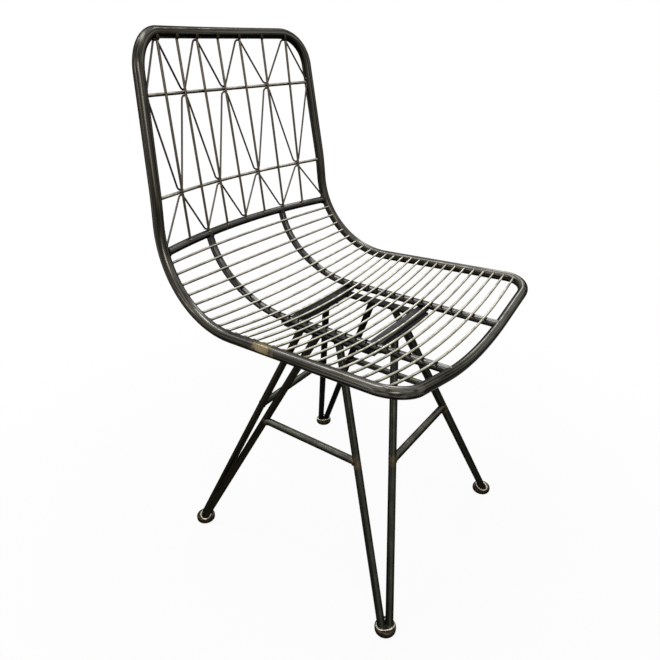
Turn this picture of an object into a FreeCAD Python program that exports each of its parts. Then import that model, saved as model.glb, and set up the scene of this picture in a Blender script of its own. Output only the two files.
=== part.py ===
import FreeCAD, Part
import math
import os
from FreeCAD import Vector

# Wire mesh dining chair, all welded steel. Millimetres.
# +Z is up, the front faces -Y, and the sitter's left hand is at +X.
# The origin is on the floor, under the middle of the overall box.

# Overall size
overall_height = 842.0
overall_depth = 505.0

# Stock and clearance
rim_d = 16.5
rim_wall = 1.5
tube_d = 12.6
tube_wall = 1.5
seat_wire_d = 4.0
back_rod_d = 4.0
crossbar_d = 5.0
zigzag_d = 3.0
weld_gap = 0.1

# Rim: one bent tube round the back and the seat, drawn through its corner points
top_half_width = 178.8
top_bow_rise = 51.5
top_bow_r = 400.0
top_corner_r = 56.0
knee_half_width = 198.0
knee_from_back = 67.0
knee_z = 620.0
knee_r = 400.0
bend_half_width = 211.5
bend_from_back = 73.0
bend_z = 441.5
bend_r = 141.0
front_half_width = 222.0
front_corner_z = 456.5
front_corner_r = 41.5
front_bow_drop = 53.0
front_bow_r = 452.0
rim_weld_y = -28.0

# Lumbar bar and the two long tubes that run from it to the front bar
lumbar_z = 539.5
lumbar_from_back = 48.0
long_half_spacing_front = 86.3
long_half_spacing_rear = 92.0
long_below_front_corner = 29.5
long_bend_from_back = 172.5
long_turn_from_back = 74.0
long_turn_rise = 49.0
long_bend_r = 180.0
long_turn_r = 135.0

# Seat wires
seat_wire_count = 24
seat_wire_first_from_front = 26.8
seat_wire_last_below_lumbar = 13.0
length_tolerance = 0.001
seat_wire_lift = 5.0
seat_wire_lean_flat = 4.0
seat_wire_lean_bend = 15.0
seat_wire_lean_front = -7.0
lean_full_turn = 15.0
lean_front_wires = 2

# Back mesh
back_rod_count = 7
rod_pitch_top = 46.0
rod_pitch_lumbar = 47.5
rod_forward_top = 6.0
rod_forward_lumbar = 4.0
crossbar_inset = 78.2
crossbar_bow_fall = 0.09
zigzag_bend_r = 7.0
zigzag_end_clearance = 1.5
zigzag_settling_passes = 6

# Sub-frame of flat bars: two on the seat, four on the base, screwed together with a washer between
bar_t = 5.0
washer_d = 12.0
washer_t = 1.2
seat_bar_w = 18.0
seat_bar_length = 186.0
base_bar_w = 18.0
base_side_half_spacing = 77.5
seat_bar_front_y = -111.5
base_front_y = -114.0
base_rear_y = 40.0
screw_d = 5.0
screw_head_d = 9.6
screw_head_t = 2.5
screw_spacing = 104.0
screw_end_below_nut = 9.0
screw_clearance = 0.15
nut_across_flats = 8.0
nut_t = 4.0
nut_sides = 6

# Legs: two tubes from each foot, tied by four stretchers
foot_spacing_x = 384.0
foot_spacing_y = 401.0
foot_centre_y = -24.7
foot_d = 34.0
foot_h = 11.0
foot_edge_r = 3.5
leg_pair_spacing = 12.9
leg_top_outward = 4.5
side_leg_top_y = {"front": -57.0, "rear": -15.5}
end_leg_top_x = {"front": 18.5, "rear": 24.0}
side_stretcher_z = 242.5
end_stretcher_z = 239.5


def mirrored(point):
    return Vector(-point.x, point.y, point.z)


def at_height(low, high, z):
    """Point of the line from low to high at height z."""
    return low + (high - low) * ((z - low.z) / (high.z - low.z))


def rounded_path(points, radii):
    """Straight runs through the points, with a tangent arc of each radius at each inner point."""
    edges = []
    current = points[0]
    for before, corner, after, radius in zip(points[:-2], points[1:-1], points[2:], radii):
        back = (before - corner).normalize()
        ahead = (after - corner).normalize()
        half_angle = back.getAngle(ahead) / 2
        run = radius / math.tan(half_angle)
        to_centre = (back + ahead).normalize()
        start = corner + back * run
        end = corner + ahead * run
        middle = corner + to_centre * (radius / math.sin(half_angle) - radius)
        edges.append(Part.LineSegment(current, start).toShape())
        edges.append(Part.Arc(start, middle, end).toShape())
        current = end
    edges.append(Part.LineSegment(current, points[-1]).toShape())
    return Part.Wire(edges)


def arc_path(start, middle, end):
    return Part.Wire([Part.Arc(start, middle, end).toShape()])


def line_path(start, end):
    return Part.Wire([Part.LineSegment(start, end).toShape()])


def sweep(path, diameter):
    """Round bar of one diameter along a path."""
    first = path.OrderedEdges[0]
    start = first.valueAt(first.FirstParameter)
    direction = first.tangentAt(first.FirstParameter)
    circle = Part.Wire([Part.Circle(start, direction, diameter / 2).toShape()])
    return path.makePipeShell([circle], True, False)


def tube(path, diameter, wall):
    return sweep(path, diameter).cut(sweep(path, diameter - 2 * wall))


def fat(path, diameter):
    """Round bar with the weld gap added all round, for cutting its neighbours."""
    return sweep(path, diameter + 2 * weld_gap)


def largest(shape):
    return max(shape.Solids, key=lambda solid: solid.Volume)


def coped(piece, *neighbours):
    """The piece with its ends cut to the shape of the neighbours that it is welded to."""
    return largest(piece.cut(list(neighbours)))


def plate(x_size, y_size, z_size, centre_x, centre_y, top_z):
    corner = Vector(centre_x - x_size / 2, centre_y - y_size / 2, top_z - z_size)
    return Part.makeBox(x_size, y_size, z_size, corner)


# Rim corner points on the +X side
back_y = overall_depth / 2
top_z = overall_height - rim_d / 2
top_slope = math.atan(top_bow_rise / top_half_width)
top_apex_y = back_y - rim_d / 2
top_middle = Vector(0, top_apex_y + top_bow_r * (1 / math.cos(top_slope) - 1), top_z)
top_corner = Vector(top_half_width, top_middle.y - top_bow_rise, top_z)
knee = Vector(knee_half_width, back_y - knee_from_back, knee_z)
seat_bend = Vector(bend_half_width, back_y - bend_from_back, bend_z)
front_y = -overall_depth / 2 + rim_d / 2
front_corner = Vector(front_half_width, front_y, front_corner_z)
front_middle = Vector(0, front_y, front_corner_z - front_bow_drop)
weld_share = (rim_weld_y - seat_bend.y) / (front_y - seat_bend.y)
rim_weld = seat_bend + (front_corner - seat_bend) * weld_share


def rear_rim_path():
    right = [rim_weld, seat_bend, knee, top_corner]
    left = [mirrored(point) for point in reversed(right)]
    radii = [bend_r, knee_r, top_corner_r]
    return rounded_path(right + [top_middle] + left, radii + [top_bow_r] + radii[::-1])


def front_rim_path():
    points = [mirrored(rim_weld), mirrored(front_corner), front_middle, front_corner, rim_weld]
    return rounded_path(points, [front_corner_r, front_bow_r, front_corner_r])


rim_rear = rear_rim_path()
rim_front = front_rim_path()
rear_rim_cutter = fat(rim_rear, rim_d)
front_rim_cutter = fat(rim_front, rim_d)


def side_frame_point(z):
    """Centre of the rim's upright at a height above the seat bend."""
    upright_foot = seat_bend + (knee - seat_bend).normalize() * bend_r
    if z >= knee_z:
        return at_height(knee, top_corner, z)
    if z >= upright_foot.z:
        return at_height(seat_bend, knee, z)
    drop = upright_foot.z - z
    forward = bend_r - math.sqrt(bend_r ** 2 - drop ** 2)
    on_line = at_height(seat_bend, knee, z)
    return Vector(on_line.x, on_line.y - forward, z)


# Heights of the two crossbars, as far from the lumbar bar as from the top bar
crossbar_z = (lumbar_z + crossbar_inset, top_z - crossbar_inset)

# Lumbar bar, bowed backwards between the two uprights
lumbar_y = back_y - lumbar_from_back
lumbar_end = side_frame_point(lumbar_z)
lumbar_path = arc_path(mirrored(lumbar_end), Vector(0, lumbar_y, lumbar_z), lumbar_end)
lumbar_cutter = fat(lumbar_path, tube_d)
lumbar_bow = lumbar_y - lumbar_end.y
lumbar_r = (lumbar_end.x ** 2 + lumbar_bow ** 2) / (2 * lumbar_bow)


def lumbar_point(x):
    return Vector(x, lumbar_y - lumbar_r + math.sqrt(lumbar_r ** 2 - x ** 2), lumbar_z)


long_z = front_corner_z - long_below_front_corner


def long_tube_path(side):
    """Path from the front bar along the seat, then up the bend to the lumbar bar."""
    rear = lumbar_point(long_half_spacing_rear)
    level = [(front_y, long_z), (back_y - long_bend_from_back, long_z)]
    turn = (back_y - long_turn_from_back, long_z + long_turn_rise)
    corners = level + [turn, (rear.y, rear.z)]
    spread = (long_half_spacing_rear - long_half_spacing_front) / (rear.y - front_y)
    points = []
    for y, z in corners:
        x = long_half_spacing_front + spread * (y - front_y)
        points.append(Vector(side * x, y, z))
    return rounded_path(points, [long_bend_r, long_turn_r])


long_paths = {"right": long_tube_path(-1), "left": long_tube_path(1)}


def along_line(line, distance):
    """Point and tangent at a distance along a line of several edges."""
    for edge in line.OrderedEdges:
        if distance <= edge.Length:
            break
        distance -= edge.Length
    parameter = edge.getParameterByLength(distance)
    return edge.valueAt(parameter), edge.tangentAt(parameter)


def length_to_height(line, z):
    """Distance along a line that ends above a height, to where it last passes that height."""
    short, long = 0, line.Length
    while long - short > length_tolerance:
        middle = (short + long) / 2
        if along_line(line, middle)[0].z < z:
            short = middle
        else:
            long = middle
    return short


def seat_wire_stations():
    """Wire ends at equal steps along a line just inside the rim, with the line's tangent."""
    along = (seat_bend - front_corner).normalize()
    upward = (knee - seat_bend).normalize()
    rise = upward * seat_wire_lift
    forward = along * -seat_wire_lift
    first = front_corner + along * (seat_wire_first_from_front / along.y) + rise
    corners = [first, seat_bend + rise + forward, knee + forward]
    line = rounded_path(corners, [bend_r - seat_wire_lift])
    length = length_to_height(line, lumbar_z - seat_wire_last_below_lumbar)
    pitch = length / (seat_wire_count - 1)
    return [along_line(line, index * pitch) for index in range(seat_wire_count)]


def crossing(path, point, normal):
    """Where a path passes through the plane that holds the point, with the path's tangent there."""
    plane = Part.Plane(point, normal).toShape()
    hits = [vertex.Point for vertex in path.section(plane).Vertexes]
    nearest = min(hits, key=lambda hit: (hit - point).Length)
    marker = Part.Vertex(nearest)
    edge = min(path.OrderedEdges, key=lambda candidate: candidate.distToShape(marker)[0])
    return nearest, edge.tangentAt(edge.Curve.parameter(nearest))


def seat_wire_lean(index, turn):
    """Angle by which a wire's sag leans back along the seat: a little on the flat, more in the bend."""
    full_turn = math.radians(lean_full_turn)
    share = min(max(turn / full_turn, 0), 1)
    lean = seat_wire_lean_flat + (seat_wire_lean_bend - seat_wire_lean_flat) * share
    front_share = max(1 - index / lean_front_wires, 0)
    return math.radians(lean + (seat_wire_lean_front - lean) * front_share)


def seat_wire_path(index, end, tangent):
    """Arc from rim to rim that rests on both long tubes."""
    turn = math.atan2(tangent.z, tangent.y)
    sag_angle = turn - math.pi / 2 + seat_wire_lean(index, turn)
    sag = Vector(0, math.cos(sag_angle), math.sin(sag_angle))
    normal = Vector(0, -sag.z, sag.y)
    tube_centre, tube_tangent = crossing(long_paths["left"], end, normal)
    contact = (tube_d + seat_wire_d) / 2 + weld_gap
    tube_normal = tube_tangent.cross(Vector(1, 0, 0)).normalize()
    depth = (tube_centre - end).dot(sag) - contact / abs(tube_normal.dot(sag))
    centre_above = (end.x ** 2 - tube_centre.x ** 2 - depth ** 2) / (2 * depth)
    radius = math.sqrt(end.x ** 2 + centre_above ** 2)
    middle = Vector(0, end.y, end.z) + sag * (radius - centre_above)
    return arc_path(mirrored(end), middle, end)


def rod_ends(index):
    """Lower and upper end of one upright rod, on the lumbar bar and on the top bar."""
    steps = index - (back_rod_count - 1) / 2
    low_x = steps * rod_pitch_lumbar
    high_x = steps * rod_pitch_top
    low = lumbar_point(low_x) - Vector(0, rod_forward_lumbar, 0)
    high = Vector(high_x, top_bar_y(high_x) - rod_forward_top, top_z)
    return low, high


def top_bar_y(x):
    """Centre line of the top bar: an arc, then straight towards the corner."""
    arc_half_width = top_bow_r * math.sin(top_slope)
    if abs(x) <= arc_half_width:
        return top_apex_y - top_bow_r + math.sqrt(top_bow_r ** 2 - x ** 2)
    return top_middle.y - abs(x) * math.tan(top_slope)


rods = [rod_ends(index) for index in range(back_rod_count)]


def slope_to_frame(z):
    """Angle in plan from the outer rod to the rim at a height."""
    outer = at_height(*rods[-1], z)
    end = side_frame_point(z)
    return math.atan2(outer.y - end.y, end.x - outer.x)


mesh_slope = max(slope_to_frame(z) for z in crossbar_z)
rod_lean = (rods[-1][1] - rods[-1][0]).getAngle(Vector(0, 0, 1))
layer_step = ((back_rod_d + crossbar_d) / 2 + weld_gap) / math.cos(mesh_slope) / math.cos(rod_lean)


def behind_rod(index, z):
    """Point of the crossbar layer behind one rod at a height."""
    low, high = rods[index]
    return at_height(low, high, z) + Vector(0, layer_step, 0)


def bar_level(z, index):
    """Height of a crossbar behind one rod: the bar's bow falls a little towards the back."""
    return z - crossbar_bow_fall * (behind_rod(index, z).y - side_frame_point(z).y)


def crossbar_path(z):
    """Bar behind the rods: an arc behind the inner rods, straight from the outer ones to the rim."""
    end = side_frame_point(z)
    outer = behind_rod(back_rod_count - 1, z)
    centre = behind_rod(back_rod_count // 2, z)
    centre.z = bar_level(z, back_rod_count // 2)
    slope = math.atan2(outer.y - end.y, end.x - outer.x)
    corner_bow = end.x * math.tan(slope)
    corner = Vector(0, end.y + corner_bow, z - crossbar_bow_fall * corner_bow)
    half_turn = (corner - end).getAngle(Vector(-1, 0, 0))
    radius = (corner - centre).Length / (1 / math.cos(half_turn) - 1)
    return rounded_path([mirrored(end), corner, end], [radius])


crossbar_paths = [crossbar_path(z) for z in crossbar_z]


def zigzag_end(level, corner):
    """End of a zigzag wire, inside the rim: the wire meets the rim's inner side at a level."""
    inner = side_frame_point(level) - Vector(rim_d / 2, 0, 0)
    return inner + (inner - corner).normalize() * rim_d / 2


def zigzag_path(low_levels, high_levels, end_level, high_first):
    """Wire bent to and fro between the levels behind each rod, with a rounded bend at each."""
    at_top = [(index % 2 == 0) == high_first for index in range(back_rod_count)]
    levels = [high if top else low for low, high, top in zip(low_levels, high_levels, at_top)]
    heights = list(levels)
    for settling in range(zigzag_settling_passes):
        corners = [behind_rod(index, z) for index, z in enumerate(heights)]
        end = zigzag_end(end_level, corners[-1])
        line = [mirrored(end)] + corners + [end]
        for index, corner in enumerate(corners):
            back = (line[index] - corner).normalize()
            ahead = (line[index + 2] - corner).normalize()
            to_centre = (back + ahead).normalize()
            centre_drop = zigzag_bend_r / math.sin(back.getAngle(ahead) / 2) * abs(to_centre.z)
            overshoot = centre_drop - zigzag_bend_r
            heights[index] = levels[index] + (overshoot if at_top[index] else -overshoot)
    return rounded_path(line, [zigzag_bend_r] * back_rod_count)


def zigzag_paths():
    on_bar = (crossbar_d + zigzag_d) / 2 + weld_gap
    lower, upper = crossbar_z
    rod_numbers = range(back_rod_count)
    over_lumbar = [lumbar_z + (tube_d + zigzag_d) / 2 + weld_gap] * back_rod_count
    under_rim = [top_z - (rim_d + zigzag_d) / 2 - weld_gap] * back_rod_count
    under_lower = [bar_level(lower, index) - on_bar for index in rod_numbers]
    over_lower = [bar_level(lower, index) + on_bar for index in rod_numbers]
    under_upper = [bar_level(upper, index) - on_bar for index in rod_numbers]
    over_upper = [bar_level(upper, index) + on_bar for index in rod_numbers]
    end_step = on_bar + zigzag_end_clearance
    lumbar_end_level = over_lumbar[0] + zigzag_end_clearance
    return {
        "upper": zigzag_path(over_upper, under_rim, upper + end_step, True),
        "middle": zigzag_path(over_lower, under_upper, upper - end_step, False),
        "lower": zigzag_path(over_lumbar, under_lower, lumbar_end_level, True),
    }


# Levels of the flat bars under the long tubes
seat_bar_top = long_z - tube_d / 2 - weld_gap
washer_top = seat_bar_top - bar_t
base_bar_top = washer_top - washer_t
base_bar_bottom = base_bar_top - bar_t
base_side_length = base_rear_y - base_front_y - base_bar_w
base_length = 2 * base_side_half_spacing + base_bar_w
screw_rows = ((seat_bar_front_y + base_front_y) / 2, base_rear_y)
screw_points = [(side * screw_spacing / 2, y) for side in (-1, 1) for y in screw_rows]


def screw(x, y):
    """Countersunk screw, head flush with the seat bar, end below the nut."""
    sink_bottom = Vector(x, y, seat_bar_top - screw_head_t)
    head = Part.makeCone(screw_d / 2, screw_head_d / 2, screw_head_t, sink_bottom)
    length = seat_bar_top - base_bar_bottom + nut_t + screw_end_below_nut
    shank = Part.makeCylinder(screw_d / 2, length, Vector(x, y, seat_bar_top - length))
    return head.fuse(shank).removeSplitter()


def screw_hole(x, y):
    radius = screw_d / 2 + screw_clearance
    hole = Part.makeCylinder(radius, seat_bar_top - base_bar_bottom, Vector(x, y, base_bar_bottom))
    sink_bottom = Vector(x, y, seat_bar_top - screw_head_t)
    sink = Part.makeCone(radius, screw_head_d / 2 + screw_clearance, screw_head_t, sink_bottom)
    return hole.fuse(sink)


def washer(x, y):
    disc = Part.makeCylinder(washer_d / 2, washer_t, Vector(x, y, base_bar_top))
    return disc.cut(screw_hole(x, y))


def nut(x, y):
    """Hexagon nut under the base bar, with a hole that clears the screw."""
    bottom = Vector(x, y, base_bar_bottom - nut_t)
    reach = nut_across_flats / math.sqrt(3)
    corners = []
    for step in range(nut_sides + 1):
        angle = 2 * math.pi * step / nut_sides
        corners.append(bottom + Vector(math.cos(angle), math.sin(angle), 0) * reach)
    body = Part.Face(Part.makePolygon(corners)).extrude(Vector(0, 0, nut_t))
    return body.cut(Part.makeCylinder(screw_d / 2 + screw_clearance, nut_t, bottom))


def foot(x, y):
    puck = Part.makeCylinder(foot_d / 2, foot_h, Vector(x, y, 0))
    return puck.makeFillet(foot_edge_r, [edge for edge in puck.Edges if edge.Length > foot_d])


# Each leg's line runs from the top of its foot to the underside of the base's bars
ends = {"front": (-1, base_front_y), "rear": (1, base_rear_y)}
base_centre_y = (base_front_y + base_rear_y) / 2
foot_points = {}
leg_lines = {}
for end_name, (end_sign, bar_y) in ends.items():
    for side_name, side in (("right", -1), ("left", 1)):
        foot_y = foot_centre_y + end_sign * foot_spacing_y / 2
        foot_top = Vector(side * foot_spacing_x / 2, foot_y, foot_h)
        apart = Vector(side, -end_sign, 0).normalize() * leg_pair_spacing / 2
        side_x = side * (base_side_half_spacing + leg_top_outward)
        side_top = Vector(side_x, side_leg_top_y[end_name], base_bar_bottom)
        end_y = bar_y + end_sign * leg_top_outward
        end_top = Vector(side * end_leg_top_x[end_name], end_y, base_bar_bottom)
        foot_points[end_name, side_name] = (foot_top.x, foot_top.y)
        leg_lines["side", end_name, side_name] = (foot_top + apart, side_top)
        leg_lines["end", end_name, side_name] = (foot_top - apart, end_top)


def leg(line):
    """Straight tube, cut level at the foot's top and at the underside of the bars."""
    run_on = (line[1] - line[0]).normalize() * tube_d
    body = tube(line_path(line[0] - run_on, line[1] + run_on), tube_d, tube_wall)
    floor_size = max(foot_spacing_x, foot_spacing_y) * 2
    height = base_bar_bottom - foot_h - 2 * weld_gap
    slab_corner = Vector(-floor_size / 2, -floor_size / 2, foot_h + weld_gap)
    slab = Part.makeBox(floor_size, floor_size, height, slab_corner)
    return largest(body.common(slab))


def stretcher(first, second, z):
    start = at_height(*leg_lines[first], z)
    end = at_height(*leg_lines[second], z)
    cutters = [fat(line_path(*leg_lines[key]), tube_d) for key in (first, second)]
    return coped(tube(line_path(start, end), tube_d, tube_wall), *cutters)


parts = {}


def build_frame():
    parts["rim_rear_tube"] = [tube(rim_rear, rim_d, rim_wall)]
    parts["rim_front_tube"] = [tube(rim_front, rim_d, rim_wall)]
    lumbar = tube(lumbar_path, tube_d, tube_wall)
    parts["lumbar_bar"] = [coped(lumbar, rear_rim_cutter)]
    for side_name, path in long_paths.items():
        body = tube(path, tube_d, tube_wall)
        parts["long_seat_tube_" + side_name] = [coped(body, front_rim_cutter, lumbar_cutter)]


def build_seat():
    for index, (end, tangent) in enumerate(seat_wire_stations()):
        wire = sweep(seat_wire_path(index, end, tangent), seat_wire_d)
        name = "seat_wire_%02d" % (index + 1)
        parts[name] = [coped(wire, rear_rim_cutter, front_rim_cutter)]


def build_back():
    for index, (low, high) in enumerate(rods):
        rod = sweep(line_path(low, high), back_rod_d)
        parts["back_rod_%d" % (index + 1)] = [coped(rod, lumbar_cutter, rear_rim_cutter)]
    for name, path in zip(("lower", "upper"), crossbar_paths):
        bar = sweep(path, crossbar_d)
        parts["crossbar_" + name] = [coped(bar, rear_rim_cutter)]
    for name, path in zigzag_paths().items():
        wire = sweep(path, zigzag_d)
        parts["zigzag_wire_" + name] = [coped(wire, rear_rim_cutter)]


def build_subframe():
    holes = [screw_hole(x, y) for x, y in screw_points]
    rows = (("front", seat_bar_front_y, base_front_y), ("rear", base_rear_y, base_rear_y))
    for name, seat_bar_y, base_bar_y in rows:
        seat_bar = plate(seat_bar_length, seat_bar_w, bar_t, 0, seat_bar_y, seat_bar_top)
        parts["seat_bar_" + name] = [seat_bar.cut(holes)]
        base_bar = plate(base_length, base_bar_w, bar_t, 0, base_bar_y, base_bar_top)
        parts["base_bar_" + name] = [base_bar.cut(holes)]
    for name, side in (("right", -1), ("left", 1)):
        x = side * base_side_half_spacing
        side_bar = plate(base_bar_w, base_side_length, bar_t, x, base_centre_y, base_bar_top)
        parts["base_bar_" + name] = [side_bar]
    parts["seat_screws"] = [screw(x, y) for x, y in screw_points]
    parts["seat_washers"] = [washer(x, y) for x, y in screw_points]
    parts["seat_nuts"] = [nut(x, y) for x, y in screw_points]


def build_legs():
    for (kind, end_name, side_name), line in leg_lines.items():
        parts["leg_%s_%s_%s" % (end_name, side_name, kind)] = [leg(line)]
    ties = []
    for hand in ("right", "left"):
        ties.append(stretcher(("side", "front", hand), ("side", "rear", hand), side_stretcher_z))
    for end_name in ends:
        ties.append(stretcher(("end", end_name, "right"), ("end", end_name, "left"), end_stretcher_z))
    parts["leg_stretchers"] = ties
    parts["feet"] = [foot(x, y) for x, y in foot_points.values()]


build_frame()
build_seat()
build_back()
build_subframe()
build_legs()

os.makedirs("parts", exist_ok=True)
for node, solids in parts.items():
    shape = solids[0] if len(solids) == 1 else Part.makeCompound(solids)
    shape.exportStep("parts/%s.step" % node)
box = Part.makeCompound([solid for solids in parts.values() for solid in solids]).BoundBox
print("nodes", len(parts), "solids", sum(len(solids) for solids in parts.values()))
print("box", [round(value, 1) for value in (box.XMin, box.XMax, box.YMin, box.YMax, box.ZMin, box.ZMax)])
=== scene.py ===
import math

import bmesh
import bpy
from mathutils import Matrix, Vector, noise


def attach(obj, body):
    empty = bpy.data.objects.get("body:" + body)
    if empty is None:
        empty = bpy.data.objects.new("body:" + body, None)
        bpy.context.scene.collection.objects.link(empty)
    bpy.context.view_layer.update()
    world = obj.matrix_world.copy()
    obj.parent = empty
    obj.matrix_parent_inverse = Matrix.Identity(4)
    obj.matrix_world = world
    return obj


# Looks for the wire mesh chair, in metres: finishes for the steel, and the weld beads at its joints.

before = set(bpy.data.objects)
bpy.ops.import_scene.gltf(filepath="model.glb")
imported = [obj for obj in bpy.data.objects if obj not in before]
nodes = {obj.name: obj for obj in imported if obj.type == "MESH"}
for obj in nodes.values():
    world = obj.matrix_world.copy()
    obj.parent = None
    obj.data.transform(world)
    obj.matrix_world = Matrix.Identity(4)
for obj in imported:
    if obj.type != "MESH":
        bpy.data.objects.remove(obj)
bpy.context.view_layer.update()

# Sizes that the welds follow, as in the part's source
tube_d = 0.0126
side_stretcher_z = 0.2425
end_stretcher_z = 0.2395

# Camera, from the photograph
image_size = 660
focal_pixels = 566.65
sensor_width = 36.0
camera_place = Vector((-0.7123, -0.4926, 0.8223))
camera_direction = Vector((0.7236, 0.5197, -0.4543))


def make_camera():
    """Camera at the photograph's place, with its lens worked out from the focal length in pixels."""
    data = bpy.data.cameras.new("camera")
    data.sensor_width = sensor_width
    data.lens = focal_pixels / image_size * sensor_width
    camera = bpy.data.objects.new("camera", data)
    camera.location = camera_place
    camera.rotation_mode = "QUATERNION"
    camera.rotation_quaternion = camera_direction.to_track_quat("-Z", "Y")
    bpy.context.scene.collection.objects.link(camera)
    bpy.context.scene.camera = camera


# Small helpers for materials

def new_material(name):
    """Node material that holds only its shader, already joined to the output."""
    material = bpy.data.materials.new(name)
    material.use_nodes = True
    return material


def socket_value(node, values):
    """Writes plain values on a node's named inputs."""
    for key, value in values.items():
        node.inputs[key].default_value = value


def add_node(tree, kind, values=None, **settings):
    """Shader node of one kind, with its settings and the values on its inputs."""
    node = tree.nodes.new("ShaderNode" + kind)
    for key, value in settings.items():
        setattr(node, key, value)
    socket_value(node, values or {})
    return node


def math_node(tree, operation, first, second, third=None):
    """Math node whose inputs are sockets or plain numbers."""
    node = add_node(tree, "Math", operation=operation)
    for socket, source in zip(node.inputs, (first, second, third)):
        if isinstance(source, (int, float)):
            socket.default_value = source
        elif source is not None:
            tree.links.new(source, socket)
    return node.outputs[0]


def mix_colour(tree, factor, first, second):
    """Mix of two colours, each a socket or a written colour."""
    node = add_node(tree, "Mix", data_type="RGBA")
    for socket, source in zip((node.inputs[0], node.inputs[6], node.inputs[7]), (factor, first, second)):
        if isinstance(source, bpy.types.NodeSocket):
            tree.links.new(source, socket)
        elif isinstance(source, tuple):
            socket.default_value = (*source, 1.0)
        else:
            socket.default_value = source
    return node.outputs[2]


def ramp(tree, source, low, high):
    """Smooth step of a value from 0 at low to 1 at high."""
    node = add_node(tree, "MapRange", interpolation_type="SMOOTHSTEP")
    tree.links.new(source, node.inputs["Value"])
    node.inputs["From Min"].default_value = low
    node.inputs["From Max"].default_value = high
    return node.outputs["Result"]


def new_group(name, inputs, outputs):
    """Node group with named float or vector inputs and outputs, ready to be filled."""
    group = bpy.data.node_groups.new(name, "ShaderNodeTree")
    for socket_name, kind, default in inputs:
        socket = group.interface.new_socket(socket_name, in_out="INPUT", socket_type="NodeSocket" + kind)
        if default is not None:
            socket.default_value = default
    for socket_name, kind in outputs:
        group.interface.new_socket(socket_name, in_out="OUTPUT", socket_type="NodeSocket" + kind)
    start = group.nodes.new("NodeGroupInput")
    end = group.nodes.new("NodeGroupOutput")
    return group, start, end


def use_group(tree, group, values=None):
    """Places a shared effect in a material, with this material's own values."""
    node = tree.nodes.new("ShaderNodeGroup")
    node.node_tree = group
    socket_value(node, values or {})
    return node


# Sheen of the steel at its outlines, much duller than clean metal
edge_tint = (0.08, 0.08, 0.08, 1.0)


# Shared effects

def painted_light_group():
    """How far the surface faces up: painted light on upward faces and painted shade on downward ones, with
    a broken border.
    """
    cloud_grain = 90.0
    top_half_border = 0.3
    under_half_border = 0.25
    inputs = [("Top Edge", "Float", 0.5), ("Under Edge", "Float", -0.3), ("Break Up", "Float", 0.25)]
    group, start, end = new_group("painted_light", inputs, [("Top", "Float"), ("Under", "Float")])
    place = add_node(group, "TexCoord")
    split = add_node(group, "SeparateXYZ")
    group.links.new(place.outputs["Normal"], split.inputs[0])
    cloud = add_node(group, "TexNoise", {"Scale": cloud_grain, "Detail": 3.0})
    group.links.new(place.outputs["Object"], cloud.inputs["Vector"])
    shift = math_node(group, "SUBTRACT", cloud.outputs["Fac"], 0.5)
    shift = math_node(group, "MULTIPLY", shift, start.outputs["Break Up"])
    facing = math_node(group, "ADD", split.outputs["Z"], shift)
    above = math_node(group, "SUBTRACT", facing, start.outputs["Top Edge"])
    below = math_node(group, "SUBTRACT", facing, start.outputs["Under Edge"])
    group.links.new(ramp(group, above, -top_half_border, top_half_border), end.inputs["Top"])
    group.links.new(ramp(group, below, under_half_border, -under_half_border), end.inputs["Under"])
    return group


def mottle_and_reflection_group():
    """Cloudy lacquer and bare specks, with light and dark streaks along each tube and wire that are
    painted reflections.
    """
    inputs = [("Scale", "Float", 30.0), ("Streaks", "Float", 3.5)]
    outputs = [("Cloud", "Float"), ("Speck", "Float"), ("Light Streak", "Float"), ("Dark Streak", "Float")]
    speck_grain = 900.0
    change_along_tube = 4.0
    cloud_border = (0.38, 0.66)
    speck_border = (0.62, 0.74)
    reflection_highlight_border = (0.52, 0.66)
    reflection_shade_border = (0.48, 0.34)
    group, start, end = new_group("mottle_and_reflection_streaks", inputs, outputs)
    place = add_node(group, "TexCoord")
    cloud = add_node(group, "TexNoise", {"Detail": 5.0, "Roughness": 0.6})
    speck = add_node(group, "TexNoise", {"Scale": speck_grain, "Detail": 2.0})
    for node in (cloud, speck):
        group.links.new(place.outputs["Object"], node.inputs["Vector"])
    group.links.new(start.outputs["Scale"], cloud.inputs["Scale"])
    group.links.new(ramp(group, cloud.outputs["Fac"], *cloud_border), end.inputs["Cloud"])
    group.links.new(ramp(group, speck.outputs["Fac"], *speck_border), end.inputs["Speck"])

    # The streaks, a painted reflection, change fast round a tube, with its normal, and slowly along it.
    round_tube = add_node(group, "VectorMath", operation="SCALE")
    group.links.new(place.outputs["Normal"], round_tube.inputs[0])
    group.links.new(start.outputs["Streaks"], round_tube.inputs["Scale"])
    along_tube = add_node(group, "VectorMath", {"Scale": change_along_tube}, operation="SCALE")
    group.links.new(place.outputs["Object"], along_tube.inputs[0])
    pattern = add_node(group, "VectorMath", operation="ADD")
    group.links.new(round_tube.outputs[0], pattern.inputs[0])
    group.links.new(along_tube.outputs[0], pattern.inputs[1])
    streak = add_node(group, "TexNoise", {"Scale": 1.0, "Detail": 2.0})
    group.links.new(pattern.outputs[0], streak.inputs["Vector"])
    group.links.new(ramp(group, streak.outputs["Fac"], *reflection_highlight_border), end.inputs["Light Streak"])
    group.links.new(ramp(group, streak.outputs["Fac"], *reflection_shade_border), end.inputs["Dark Streak"])
    return group


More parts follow.
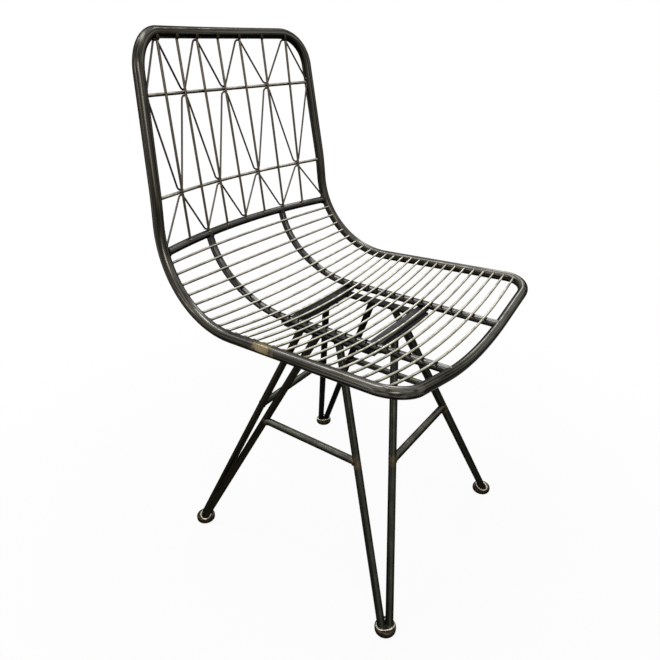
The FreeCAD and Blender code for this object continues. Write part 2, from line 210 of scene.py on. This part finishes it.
def tint_group():
    """Patch with a ragged border round a place, which Both Sides mirrors from side to side."""
    inputs = [
        ("Centre", "Vector", None), ("Reach", "Float", 0.02), ("Ragged", "Float", 0.6),
        ("Both Sides", "Float", 1.0),
    ]
    border_grain = 160.0
    patch_border = (1.0, 0.35)
    group, start, end = new_group("joint_tint", inputs, [("Patch", "Float")])
    place = add_node(group, "TexCoord")
    fold = add_node(group, "VectorMath", operation="ABSOLUTE")
    split = add_node(group, "SeparateXYZ")
    folded = add_node(group, "SeparateXYZ")
    join = add_node(group, "CombineXYZ")
    away = add_node(group, "VectorMath", operation="DISTANCE")
    cloud = add_node(group, "TexNoise", {"Scale": border_grain, "Detail": 4.0})
    group.links.new(place.outputs["Object"], fold.inputs[0])
    group.links.new(place.outputs["Object"], split.inputs[0])
    group.links.new(place.outputs["Object"], cloud.inputs["Vector"])
    group.links.new(fold.outputs[0], folded.inputs[0])
    fold_x = math_node(group, "SUBTRACT", folded.outputs["X"], split.outputs["X"])
    fold_x = math_node(group, "MULTIPLY", fold_x, start.outputs["Both Sides"])
    group.links.new(math_node(group, "ADD", split.outputs["X"], fold_x), join.inputs["X"])
    group.links.new(split.outputs["Y"], join.inputs["Y"])
    group.links.new(split.outputs["Z"], join.inputs["Z"])
    group.links.new(join.outputs[0], away.inputs[0])
    group.links.new(start.outputs["Centre"], away.inputs[1])
    part_way = math_node(group, "DIVIDE", away.outputs["Value"], start.outputs["Reach"])
    ragged = math_node(group, "SUBTRACT", cloud.outputs["Fac"], 0.5)
    ragged = math_node(group, "MULTIPLY", ragged, start.outputs["Ragged"])
    part_way = math_node(group, "ADD", part_way, ragged)
    group.links.new(ramp(group, part_way, *patch_border), end.inputs["Patch"])
    return group


# Mask for painted light on upward faces and painted shade on downward ones
painted_light = painted_light_group()
mottle_and_reflection_streaks = mottle_and_reflection_group()
joint_tint = tint_group()


# Shares of each effect in every steel finish
cloud_share = 0.45
cloud_darkening = 0.6
dark_reflection_streak_share = 0.75
speck_share = 0.2
cloud_roughness = 0.14
patch_raggedness = 1.5
lacquer_bump = {"Strength": 0.05, "Distance": 0.0004}


def steel_finish(name, top, side, under, roughness, scale=30.0, metallic=0.0, patches=(),
                 level=0.1, top_edge=0.5, under_edge=-0.3, reflection_streak_share=0.3):
    """Lacquered steel in three tones by the way the surface faces, a painted lit top over the side tone
    and a painted shaded underside, mottled, with worn or heated patches.

    A patch centred at a positive x shows on both sides of the chair, and one at a negative x only there.
    """
    material = new_material(name)
    tree = material.node_tree
    shader = tree.nodes["Principled BSDF"]
    facing = use_group(tree, painted_light, {"Top Edge": top_edge, "Under Edge": under_edge})
    mottle = use_group(tree, mottle_and_reflection_streaks, {"Scale": scale})
    # The top tone is painted light on upward faces
    colour = mix_colour(tree, facing.outputs["Top"], side, top)
    darker = tuple(value * cloud_darkening for value in side)
    # Light streaks in the top tone and dark streaks in the under tone are painted reflections
    layers = [
        ("Cloud", cloud_share, darker),
        ("Dark Streak", dark_reflection_streak_share, under),
        ("Light Streak", reflection_streak_share, top),
        ("Speck", speck_share, top),
    ]
    for effect, share, tone in layers:
        factor = math_node(tree, "MULTIPLY", mottle.outputs[effect], share)
        colour = mix_colour(tree, factor, colour, tone)
    for centre, reach, tint, strength in patches:
        both_sides = 1.0 if centre[0] > 0 else 0.0
        patch = use_group(tree, joint_tint, {
            "Centre": centre, "Reach": reach, "Ragged": patch_raggedness, "Both Sides": both_sides,
        })
        factor = math_node(tree, "MULTIPLY", patch.outputs["Patch"], strength)
        colour = mix_colour(tree, factor, colour, tint)
    # The under tone is painted shade on downward faces
    colour = mix_colour(tree, facing.outputs["Under"], colour, under)
    rough = math_node(tree, "MULTIPLY_ADD", mottle.outputs["Cloud"], cloud_roughness, roughness)
    bump = add_node(tree, "Bump", lacquer_bump)
    tree.links.new(mottle.outputs["Cloud"], bump.inputs["Height"])
    tree.links.new(bump.outputs["Normal"], shader.inputs["Normal"])
    tree.links.new(colour, shader.inputs["Base Color"])
    tree.links.new(rough, shader.inputs["Roughness"])
    socket_value(shader, {"Metallic": metallic, "Specular IOR Level": level, "Specular Tint": edge_tint})
    return material


# Reading the joints off the CAD nodes

X, Y, Z = range(3)
seat_wires = ["seat_wire_%02d" % number for number in range(1, 25)]
back_rods = ["back_rod_%d" % number for number in range(1, 8)]
crossbars = ["crossbar_lower", "crossbar_upper"]
zigzags = ["zigzag_wire_lower", "zigzag_wire_middle", "zigzag_wire_upper"]
long_tubes = ["long_seat_tube_left", "long_seat_tube_right"]
legs = sorted(name for name in nodes if name.startswith("leg_") and name != "leg_stretchers")
front_legs = [name for name in legs if "front" in name]
rear_legs = [name for name in legs if "rear" in name]
flat_bars = sorted(name for name in nodes if name.startswith(("seat_bar", "base_bar")))


def end_point(node, axis, sign, depth=0.002, lowest_x=-1.0):
    """Middle of the outermost slice of a node along one axis, of the part beyond a given x."""
    places = [vertex.co for vertex in nodes[node].data.vertices if vertex.co.x > lowest_x]
    limit = max(sign * place[axis] for place in places) - depth
    slice_places = [place for place in places if sign * place[axis] >= limit]
    low = Vector([min(place[k] for place in slice_places) for k in range(3)])
    high = Vector([max(place[k] for place in slice_places) for k in range(3)])
    return (low + high) / 2


def leg_line(name):
    """Lower and upper end of a leg's middle line."""
    return end_point(name, Z, -1), end_point(name, Z, 1)


def point_at_height(name, height):
    """Place on a leg's middle line at one height."""
    foot, top = leg_line(name)
    return foot + (top - foot) * ((height - foot.z) / (top.z - foot.z))


def stretcher_ends():
    """For each stretcher, the two legs it joins and where its middle line meets theirs."""
    pairs = [
        ("leg_front_%s_side", "leg_rear_%s_side", "left", side_stretcher_z),
        ("leg_front_%s_side", "leg_rear_%s_side", "right", side_stretcher_z),
        ("leg_%s_left_end", "leg_%s_right_end", "front", end_stretcher_z),
        ("leg_%s_left_end", "leg_%s_right_end", "rear", end_stretcher_z),
    ]
    for first, second, word, height in pairs:
        names = (first % word, second % word)
        yield names, [point_at_height(name, height) for name in names]


def foot_pairs():
    """Lower ends of the two legs that share each foot."""
    for end in ("front", "rear"):
        for hand in ("left", "right"):
            yield [leg_line("leg_%s_%s_%s" % (end, hand, kind))[0] for kind in ("side", "end")]


# Weld beads

# How fine the unevenness of blobs and rings is, how strong it is on rings, and what makes each ring differ
lump_grain = 700.0
ring_grain = 400
ring_unevenness = 0.25
ring_shift = 50


def finish_piece(bm, name, material):
    """Turns a finished bmesh into an object that rides on the chair."""
    bmesh.ops.recalc_face_normals(bm, faces=bm.faces)
    mesh = bpy.data.meshes.new(name)
    bm.to_mesh(mesh)
    bm.free()
    for face in mesh.polygons:
        face.use_smooth = True
    mesh.materials.append(material)
    piece = bpy.data.objects.new(name, mesh)
    bpy.context.scene.collection.objects.link(piece)
    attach(piece, "root")


def roughen(vertices, centre, amount, grain):
    """Pushes vertices in and out from a centre by smooth noise."""
    for vertex in vertices:
        away = vertex.co - centre
        push = noise.noise(vertex.co * grain) * amount
        vertex.co += away.normalized() * push


def add_lump(bm, place, size, lean=Vector((0, 0, 1)), amount=0.0004, detail=2):
    """Small uneven blob of weld metal, as wide as size.x and size.y and as high as size.z along lean."""
    turn = lean.to_track_quat("Z", "Y").to_matrix().to_4x4()
    made = bmesh.ops.create_icosphere(bm, subdivisions=detail, radius=0.5)
    vertices = made["verts"]
    bmesh.ops.scale(bm, vec=size, verts=vertices)
    bmesh.ops.transform(bm, matrix=Matrix.Translation(place) @ turn, verts=vertices)
    roughen(vertices, place, amount, lump_grain)


def joined_vertices(vertices):
    """All vertices that edges join to the given ones."""
    found = set(vertices)
    waiting = list(vertices)
    while waiting:
        for edge in waiting.pop().link_edges:
            for vertex in edge.verts:
                if vertex not in found:
                    found.add(vertex)
                    waiting.append(vertex)
    return found


def add_ring(bm, place, axis, ring_d, bead_d, neighbour=None, neighbour_d=0.0, steps=36):
    """Weld bead round a tube's end. Where the neighbour is a round bar, the bead follows its curve."""
    circle = bmesh.ops.create_circle(bm, segments=8, radius=bead_d / 2)
    vertices = circle["verts"]
    bmesh.ops.rotate(bm, verts=vertices, matrix=Matrix.Rotation(math.pi / 2, 3, "X"))
    bmesh.ops.translate(bm, vec=(ring_d / 2, 0, 0), verts=vertices)
    edges = list({edge for vertex in vertices for edge in vertex.link_edges})
    bmesh.ops.spin(
        bm, geom=vertices + edges, cent=(0, 0, 0), axis=(0, 0, 1),
        angle=2 * math.pi, steps=steps, use_merge=True,
    )
    ring = joined_vertices(vertices)
    axis = axis.normalized()
    if neighbour is None:
        across = axis.orthogonal().normalized()
    else:
        across = (neighbour - axis * neighbour.dot(axis)).normalized()
    side = axis.cross(across)
    for vertex in ring:
        flat = Vector((vertex.co.x, vertex.co.y, 0))
        swell = 1 + ring_unevenness * noise.noise(flat * ring_grain + place * ring_shift)
        core = flat.normalized() * ring_d / 2
        vertex.co = core + (vertex.co - core) * swell
        if neighbour is not None:
            off_axis = min(abs(vertex.co.y), neighbour_d / 2 * 0.99)
            vertex.co.z += math.sqrt((neighbour_d / 2) ** 2 - off_axis ** 2)
    turn = Matrix((across, side, axis)).transposed().to_4x4()
    bmesh.ops.transform(bm, matrix=Matrix.Translation(place) @ turn, verts=list(ring))


# Finishes
brass = (0.32, 0.25, 0.14)
heat_brown = (0.16, 0.10, 0.05)
rim_patch_reach = 0.024
joint_patch_reach = 0.014

# Each patch is a centre, a reach, a colour and a strength.
# The rim's patch shows on one side only, the others on both.
rim_weld = end_point("rim_front_tube", Y, 1, lowest_x=0.0)
rim_weld_patch = ((-rim_weld.x, rim_weld.y, rim_weld.z), rim_patch_reach, brass, 0.7)
tinted_joints = [
    ("leg_front_left_side", side_stretcher_z),
    ("leg_rear_left_side", side_stretcher_z),
    ("leg_front_left_end", end_stretcher_z),
]
stretcher_patches = [
    (point_at_height(leg, height), joint_patch_reach, heat_brown, 0.35)
    for leg, height in tinted_joints
]

# In each finish the top tone is painted light and the under tone is painted shade
rim_lacquer = steel_finish(
    "rim_lacquer", top=(0.140, 0.136, 0.124), side=(0.043, 0.038, 0.029), under=(0.004, 0.004, 0.003),
    roughness=0.20, metallic=0.85, top_edge=0.62, under_edge=-0.15, reflection_streak_share=0.6,
    patches=[rim_weld_patch],
)
tube_lacquer = steel_finish(
    "tube_lacquer", top=(0.150, 0.147, 0.138), side=(0.036, 0.034, 0.030), under=(0.003, 0.003, 0.003),
    roughness=0.22, metallic=0.85, top_edge=0.58, under_edge=-0.05, reflection_streak_share=0.6,
)
leg_lacquer = steel_finish(
    "leg_lacquer", top=(0.120, 0.120, 0.100), side=(0.020, 0.020, 0.015), under=(0.004, 0.004, 0.003),
    roughness=0.34, metallic=0.9, top_edge=0.6, under_edge=-0.4, reflection_streak_share=0.08,
    patches=stretcher_patches,
)
# Darker, browner copy of the leg lacquer for the rear legs: painted shade for the shade they stand in
rear_leg_shaded_lacquer = steel_finish(
    "rear_leg_shaded_lacquer", top=(0.080, 0.072, 0.055), side=(0.013, 0.011, 0.007), under=(0.003, 0.003, 0.002),
    roughness=0.34, metallic=0.9, top_edge=0.6, under_edge=-0.4, reflection_streak_share=0.08,
)
bar_lacquer = steel_finish(
    "bar_lacquer", top=(0.080, 0.080, 0.080), side=(0.008, 0.008, 0.008), under=(0.003, 0.003, 0.003),
    roughness=0.42, metallic=0.3,
)
seat_wire_steel = steel_finish(
    "seat_wire_steel", top=(0.60, 0.58, 0.48), side=(0.085, 0.078, 0.060), under=(0.005, 0.004, 0.003),
    roughness=0.30, metallic=0.9, scale=60.0, top_edge=0.45, under_edge=-0.05,
)
crossbar_steel = steel_finish(
    "crossbar_steel", top=(0.62, 0.59, 0.50), side=(0.11, 0.098, 0.075), under=(0.006, 0.005, 0.004),
    roughness=0.32, metallic=0.85, scale=60.0, top_edge=0.45, under_edge=-0.05,
)
back_wire_steel = steel_finish(
    "back_wire_steel", top=(0.32, 0.28, 0.21), side=(0.085, 0.070, 0.052), under=(0.006, 0.005, 0.004),
    roughness=0.34, metallic=0.85, scale=60.0, top_edge=0.5, under_edge=-0.3,
)
zigzag_steel = steel_finish(
    "zigzag_steel", top=(0.30, 0.27, 0.22), side=(0.060, 0.052, 0.042), under=(0.005, 0.004, 0.003),
    roughness=0.34, metallic=0.85, scale=60.0, top_edge=0.5, under_edge=-0.2,
)
foot_steel = steel_finish(
    "foot_steel", top=(0.060, 0.048, 0.034), side=(0.018, 0.012, 0.007), under=(0.004, 0.003, 0.002),
    roughness=0.22, metallic=0.8, scale=110.0, top_edge=0.7,
)
weld_metal = steel_finish(
    "weld_metal", top=(0.30, 0.27, 0.21), side=(0.07, 0.058, 0.042), under=(0.010, 0.008, 0.006),
    roughness=0.36, metallic=0.85, scale=220.0,
)
# Weld metal for the feet, whose very pale top tone is a painted highlight
foot_weld_metal = steel_finish(
    "foot_weld_metal", top=(0.78, 0.74, 0.60), side=(0.22, 0.19, 0.13), under=(0.010, 0.008, 0.006),
    roughness=0.30, metallic=0.85, scale=220.0, top_edge=0.3,
)
dark_weld = steel_finish(
    "dark_weld", top=(0.060, 0.054, 0.042), side=(0.022, 0.018, 0.013), under=(0.005, 0.004, 0.003),
    roughness=0.34, metallic=0.7, scale=160.0,
)
fastener_zinc = steel_finish(
    "fastener_zinc", top=(0.08, 0.08, 0.08), side=(0.020, 0.020, 0.019), under=(0.006, 0.006, 0.006),
    roughness=0.4, metallic=0.6, scale=120.0,
)


def dress(names, material):
    """Gives CAD nodes a finish in their own material slots."""
    for name in names:
        for slot in nodes[name].material_slots:
            slot.material = material


def dress_nodes():
    dress(["rim_rear_tube", "rim_front_tube"], rim_lacquer)
    dress(long_tubes + ["lumbar_bar"], tube_lacquer)
    dress(front_legs + ["leg_stretchers"], leg_lacquer)
    dress(rear_legs, rear_leg_shaded_lacquer)
    dress(flat_bars, bar_lacquer)
    dress(seat_wires, seat_wire_steel)
    dress(crossbars, crossbar_steel)
    dress(back_rods, back_wire_steel)
    dress(zigzags, zigzag_steel)
    dress(["feet"], foot_steel)
    dress(["seat_screws", "seat_washers", "seat_nuts"], fastener_zinc)


def seat_wire_welds():
    """Blobs where the seat wires end on the rim."""
    size = Vector((0.0062, 0.0052, 0.0050))
    into_rim = 0.0006
    upward_lean = 0.3
    bm = bmesh.new()
    for name in seat_wires:
        for sign in (-1, 1):
            place = end_point(name, X, sign)
            place.x += sign * into_rim
            add_lump(bm, place, size, Vector((sign, 0, upward_lean)))
    finish_piece(bm, "seat_wire_welds", weld_metal)


def back_rod_welds(tops, bm):
    """Tall nubs at the rods' tops on the rim, and low ones where they stand on the lumbar bar."""
    top_size = Vector((0.0066, 0.0060, 0.0090))
    top_drop = Vector((0, 0, -0.0026))
    foot_size = Vector((0.0058, 0.0058, 0.0042))
    for name in back_rods:
        add_lump(tops, end_point(name, Z, 1) + top_drop, top_size)
        add_lump(bm, end_point(name, Z, -1), foot_size)


def back_welds():
    """Weld metal at all ends of the rods, crossbars and zigzag wires."""
    crossbar_size = Vector((0.0075, 0.0072, 0.0062))
    zigzag_size = Vector((0.0045, 0.0045, 0.0045))
    bm = bmesh.new()
    tops = bmesh.new()
    back_rod_welds(tops, bm)
    for names, size in ((crossbars, crossbar_size), (zigzags, zigzag_size)):
        for name in names:
            for sign in (-1, 1):
                add_lump(bm, end_point(name, X, sign), size, Vector((sign, 0, 0)))
    finish_piece(bm, "back_mesh_welds", weld_metal)
    finish_piece(tops, "back_rod_top_welds", dark_weld)


def tube_welds():
    """Beads at both ends of the long tubes and of the lumbar bar."""
    front_slice = 0.012
    direction_slice = 0.03
    end_slice = 0.006
    from_end = 0.002
    ring_d = tube_d + 0.0006
    bm = bmesh.new()
    for name in long_tubes:
        front = end_point(name, Y, -1, front_slice)
        along = end_point(name, Y, -1, direction_slice) - front
        add_ring(bm, front, along, ring_d=tube_d, bead_d=0.0024)
        top = end_point(name, Z, 1, end_slice) - Vector((0, 0, from_end))
        add_ring(bm, top, Vector((0, 0.1, 1)), ring_d, bead_d=0.0032)
    for sign in (-1, 1):
        end = end_point("lumbar_bar", X, sign, end_slice) - Vector((sign * from_end, 0, 0))
        add_ring(bm, end, Vector((sign, 0, 0)), ring_d, bead_d=0.0030)
    finish_piece(bm, "tube_end_welds", dark_weld)


def add_puddle(bm, first, second, lumps=34):
    """Ragged bead of bright weld metal on a foot's top, round the lower ends of its two legs."""
    middle = (first + second) / 2
    across = (second - first).normalized()
    beside = Vector((0, 0, 1)).cross(across)
    past_legs = 0.0010
    beside_legs = 0.0026
    half_long = (second - first).length / 2 + tube_d / 2 + past_legs
    half_wide = tube_d / 2 + beside_legs
    lump_size = Vector((0.0046, 0.0046, 0.0022))
    size_change = 0.6
    change_grain = 200
    for number in range(lumps):
        turn = 2 * math.pi * number / lumps
        place = middle + across * half_long * math.cos(turn) + beside * half_wide * math.sin(turn)
        swell = 1 + size_change * noise.noise(place * change_grain)
        add_lump(bm, place, lump_size * swell, amount=0.0005, detail=1)


def leg_end_welds():
    """Dark beads round the legs' tops under the flat bars, and round their lower ends on the feet."""
    upright = Vector((0, 0, 1))
    above_foot = 0.001
    top_ring_d = tube_d + 0.0010
    foot_ring_d = tube_d + 0.0004
    bm = bmesh.new()
    for name in legs:
        foot, top = leg_line(name)
        along = (top - foot).normalized()
        add_ring(bm, top, upright, top_ring_d, bead_d=0.0034)
        add_ring(bm, foot + along * above_foot, upright, foot_ring_d, bead_d=0.0024)
    finish_piece(bm, "leg_top_welds", dark_weld)


def foot_welds():
    """Beads on the four feet, made bright by a painted highlight in their weld metal's top tone."""
    bm = bmesh.new()
    for first, second in foot_pairs():
        add_puddle(bm, first, second)
    finish_piece(bm, "foot_welds", foot_weld_metal)


def stretcher_welds():
    """Beads round the stretchers' ends, following the legs' curve."""
    ring_d = tube_d + 0.0004
    bm = bmesh.new()
    for names, ends in stretcher_ends():
        along = (ends[1] - ends[0]).normalized()
        for name, place, inward in zip(names, ends, (along, -along)):
            foot, top = leg_line(name)
            add_ring(
                bm, place, inward, ring_d, bead_d=0.0028, neighbour=top - foot, neighbour_d=tube_d,
            )
    finish_piece(bm, "stretcher_welds", dark_weld)


# Studio

white = (1.0, 1.0, 1.0, 1.0)
floor_colour = (0.75, 0.75, 0.75, 1.0)
soft_light = 0.22

# The floor as it is seen: its share of plain white near the chair and far from it, and where that changes
near_white = 0.94
far_white = 1.0
near_reach = 0.3
far_reach = 1.1


def seen_ray(tree):
    """1 for rays that show the background: straight from the camera, mirrored or through glass."""
    path = add_node(tree, "LightPath")
    seen = math_node(tree, "MAXIMUM", path.outputs["Is Camera Ray"], path.outputs["Is Glossy Ray"])
    return math_node(tree, "MAXIMUM", seen, path.outputs["Is Transmission Ray"])


def floor_material():
    """Pale floor that keeps the chair's shadow near it and runs out to white further away."""
    material = new_material("studio_floor")
    tree = material.node_tree
    shader = tree.nodes["Principled BSDF"]
    socket_value(shader, {"Base Color": floor_colour, "Roughness": 0.9, "Specular IOR Level": 0.0})
    glow = add_node(tree, "Emission", {"Color": white, "Strength": 1.0})
    mix = add_node(tree, "MixShader")
    place = add_node(tree, "TexCoord")
    reach = add_node(tree, "VectorMath", operation="LENGTH")
    tree.links.new(place.outputs["Object"], reach.inputs[0])
    far = ramp(tree, reach.outputs["Value"], near_reach, far_reach)
    share = math_node(tree, "MULTIPLY_ADD", far, far_white - near_white, near_white)
    tree.links.new(math_node(tree, "MULTIPLY", share, seen_ray(tree)), mix.inputs[0])
    tree.links.new(shader.outputs[0], mix.inputs[1])
    tree.links.new(glow.outputs[0], mix.inputs[2])
    tree.links.new(mix.outputs[0], tree.nodes["Material Output"].inputs["Surface"])
    return material


def make_floor():
    bm = bmesh.new()
    bmesh.ops.create_grid(bm, x_segments=4, y_segments=4, size=15.0)
    mesh = bpy.data.meshes.new("floor")
    bm.to_mesh(mesh)
    bm.free()
    mesh.materials.append(floor_material())
    floor = bpy.data.objects.new("floor", mesh)
    bpy.context.scene.collection.objects.link(floor)


def make_world():
    """Soft light from all round, seen as plain white."""
    world = bpy.data.worlds.new("studio")
    bpy.context.scene.world = world
    world.use_nodes = True
    tree = world.node_tree
    tree.nodes.clear()
    light = add_node(tree, "Background", {"Color": white, "Strength": soft_light})
    backdrop = add_node(tree, "Background", {"Color": white, "Strength": 1.0})
    mix = add_node(tree, "MixShader")
    output = add_node(tree, "OutputWorld")
    tree.links.new(seen_ray(tree), mix.inputs[0])
    tree.links.new(light.outputs[0], mix.inputs[1])
    tree.links.new(backdrop.outputs[0], mix.inputs[2])
    tree.links.new(mix.outputs[0], output.inputs["Surface"])


def make_lamp(name, place, target, width, height, watts):
    """Softbox at a place, turned to a target."""
    data = bpy.data.lights.new(name, "AREA")
    data.shape = "RECTANGLE"
    data.size = width
    data.size_y = height
    data.energy = watts
    lamp = bpy.data.objects.new(name, data)
    lamp.location = place
    lamp.rotation_mode = "QUATERNION"
    lamp.rotation_quaternion = (Vector(target) - Vector(place)).to_track_quat("-Z", "Y")
    bpy.context.scene.collection.objects.link(lamp)


def make_studio():
    make_floor()
    make_world()
    seat_middle = (0.0, 0.0, 0.5)
    seat_rear = (0.0, 0.1, 0.5)
    make_lamp("overhead_softbox", (-0.1, 0.6, 2.4), seat_rear, width=0.4, height=1.8, watts=22.0)
    make_lamp("front_softbox", (-1.5, -1.7, 1.7), seat_middle, width=0.9, height=0.9, watts=18.0)
    make_lamp("right_softbox", (1.9, 0.5, 1.9), seat_middle, width=0.4, height=1.4, watts=16.0)
    make_lamp("left_softbox", (-2.0, 0.7, 1.4), seat_middle, width=0.3, height=1.2, watts=6.0)
    bpy.context.scene.view_settings.view_transform = "Standard"


make_camera()
make_studio()
dress_nodes()
seat_wire_welds()
back_welds()
tube_welds()
leg_end_welds()
foot_welds()
stretcher_welds()
